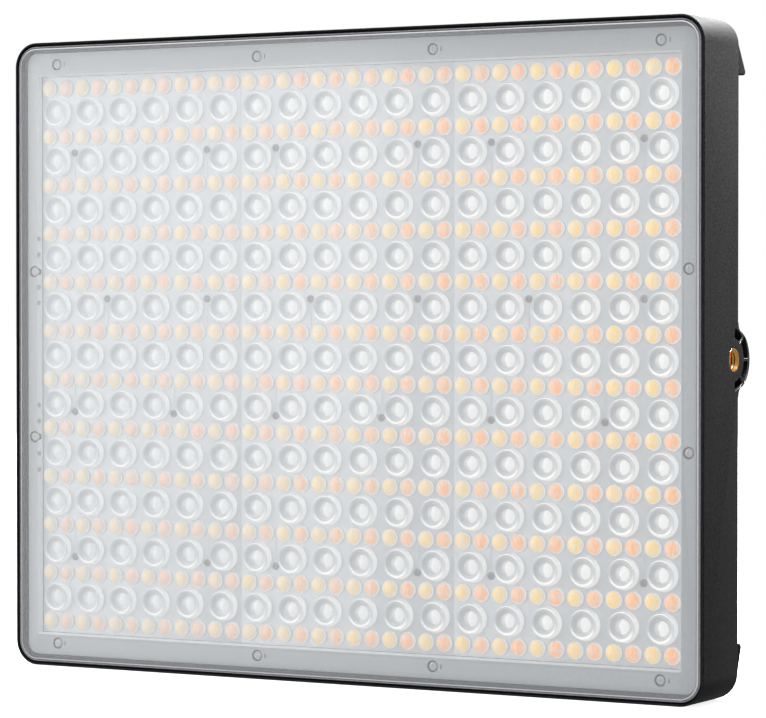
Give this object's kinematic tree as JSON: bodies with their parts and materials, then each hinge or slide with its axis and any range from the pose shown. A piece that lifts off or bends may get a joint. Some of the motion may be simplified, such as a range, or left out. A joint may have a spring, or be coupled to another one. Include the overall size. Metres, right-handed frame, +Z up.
{
  "type": "led panel light",
  "caption": "Flat rectangular LED panel light with a lens-array front, side mounting rosettes, rear control panel and two battery plates.",
  "frame": {"origin": "middle of the housing's flat bottom face, halfway between its front rim and its back", "axes": "+X to the right seen from the front, +Y from the lit front to the back, +Z up"},
  "size_m": [0.312, 0.0446, 0.257],
  "materials": {
    "black_plastic": "fine moulded texture",
    "panel_plastic": "satin moulded",
    "fan_plastic": "moulded",
    "module_plastic": "moulded",
    "knob_plastic": "fluted, satin",
    "button_plastic": "satin",
    "grey_plastic": "satin",
    "gloss_black": "semi-gloss",
    "white_plastic": "satin light grey",
    "clear_cover": "clear, slightly hazy",
    "lens_plastic": "clear moulded",
    "smoked_window": "smoked gloss",
    "gasket_foam": "closed-cell foam",
    "foot_rubber": "matt",
    "lead_jacket": "satin",
    "thermal_pad": "soft silicone",
    "white_board": "white solder mask",
    "green_board": "green solder mask",
    "heat_sink_aluminium": "extruded",
    "steel": "plated",
    "screw_steel": "plated",
    "brass": "turned",
    "gold_contacts": "gold flash over brass"
  },
  "bodies": {
    "panel": {"battery_contacts_left": "gold_contacts", "battery_contacts_right": "gold_contacts", "battery_plate_left": "panel_plastic", "battery_plate_right": "panel_plastic", "control_board": "green_board", "control_housing": "panel_plastic", "control_lead": "lead_jacket", "corner_foot_bottom_left": "foot_rubber", "corner_foot_bottom_right": "foot_rubber", "corner_foot_top_left": "foot_rubber", "corner_foot_top_right": "foot_rubber", "cover_gasket": "gasket_foam", "dc_inlet": "gloss_black", "display_module": "module_plastic", "display_window": "smoked_window", "driver_board": "green_board", "encoder_left": "steel", "encoder_right": "steel", "fan_housing": "fan_plastic", "frame_screw_01": "screw_steel", "frame_screw_02": "screw_steel", "frame_screw_03": "screw_steel", "frame_screw_04": "screw_steel", "frame_screw_05": "screw_steel", "frame_screw_06": "screw_steel", "frame_screw_07": "screw_steel", "frame_screw_08": "screw_steel", "frame_screw_09": "screw_steel", "frame_screw_10": "screw_steel", "frame_screw_11": "screw_steel", "frame_screw_12": "screw_steel", "front_cover": "clear_cover", "heat_sink": "heat_sink_aluminium", "latch_spring_left": "steel", "latch_spring_right": "steel", "led_board": "white_board", "lens_plate_centre": "lens_plastic", "lens_plate_left": "lens_plastic", "lens_plate_right": "lens_plastic", "rear_shell": "black_plastic", "retaining_frame": "white_plastic", "side_mount_left": "black_plastic", "side_mount_right": "black_plastic", "switch_housing": "gloss_black", "thermal_pad": "thermal_pad", "threaded_insert_left": "brass", "threaded_insert_right": "brass", "usb_port": "steel"},
    "fan": {"fan_rotor": "fan_plastic"},
    "knob_left_shaft": {"encoder_shaft_left": "steel"},
    "knob_left": {"knob_left": "knob_plastic"},
    "knob_right_shaft": {"encoder_shaft_right": "steel"},
    "knob_right": {"knob_right": "knob_plastic"},
    "mode_button": {"button_mode": "button_plastic"},
    "menu_button": {"button_menu": "button_plastic"},
    "effect_button": {"button_effect": "button_plastic"},
    "set_button": {"button_set": "button_plastic"},
    "power_rocker": {"switch_rocker": "gloss_black"},
    "latch_left": {"battery_latch_left": "grey_plastic"},
    "latch_right": {"battery_latch_right": "grey_plastic"}
  },
  "joints": [
    {"name": "fan_spin", "type": "hinge", "parent": "panel", "child": "fan", "pos_m": [0, 0.0093, 0.2165], "axis": [0, 1, 0], "continuous": true},
    {"name": "knob_left_turn", "type": "hinge", "parent": "panel", "child": "knob_left_shaft", "pos_m": [-0.033, 0.02265, 0.1205], "axis": [0, 1, 0], "continuous": true},
    {"name": "knob_left_press", "type": "slide", "parent": "knob_left_shaft", "child": "knob_left", "axis": [0, -1, 0], "range_m": [0, 0.0006], "stiffness_N_per_m": 400, "springref_m": -0.0015},
    {"name": "knob_right_turn", "type": "hinge", "parent": "panel", "child": "knob_right_shaft", "pos_m": [0.033, 0.02265, 0.1205], "axis": [0, 1, 0], "continuous": true},
    {"name": "knob_right_press", "type": "slide", "parent": "knob_right_shaft", "child": "knob_right", "axis": [0, -1, 0], "range_m": [0, 0.0006], "stiffness_N_per_m": 400, "springref_m": -0.0015},
    {"name": "mode_button_press", "type": "slide", "parent": "panel", "child": "mode_button", "axis": [0, -1, 0], "range_m": [0, 0.0006], "stiffness_N_per_m": 300, "springref_m": -0.001},
    {"name": "menu_button_press", "type": "slide", "parent": "panel", "child": "menu_button", "axis": [0, -1, 0], "range_m": [0, 0.0006], "stiffness_N_per_m": 300, "springref_m": -0.001},
    {"name": "effect_button_press", "type": "slide", "parent": "panel", "child": "effect_button", "axis": [0, -1, 0], "range_m": [0, 0.0006], "stiffness_N_per_m": 300, "springref_m": -0.001},
    {"name": "set_button_press", "type": "slide", "parent": "panel", "child": "set_button", "axis": [0, -1, 0], "range_m": [0, 0.0006], "stiffness_N_per_m": 300, "springref_m": -0.001},
    {"name": "power_rocker_tip", "type": "hinge", "parent": "panel", "child": "power_rocker", "pos_m": [-0.028, 0.02075, 0.0745], "axis": [-1, 0, 0], "range_deg": [0, 14]},
    {"name": "battery_latch_left_slide", "type": "slide", "parent": "panel", "child": "latch_left", "axis": [0, 0, -1], "range_m": [0, 0.003], "stiffness_N_per_m": 400, "springref_m": -0.002, "deforming": ["latch_spring_left"]},
    {"name": "battery_latch_right_slide", "type": "slide", "parent": "panel", "child": "latch_right", "axis": [0, 0, -1], "range_m": [0, 0.003], "stiffness_N_per_m": 400, "springref_m": -0.002, "deforming": ["latch_spring_right"]}
  ]
}
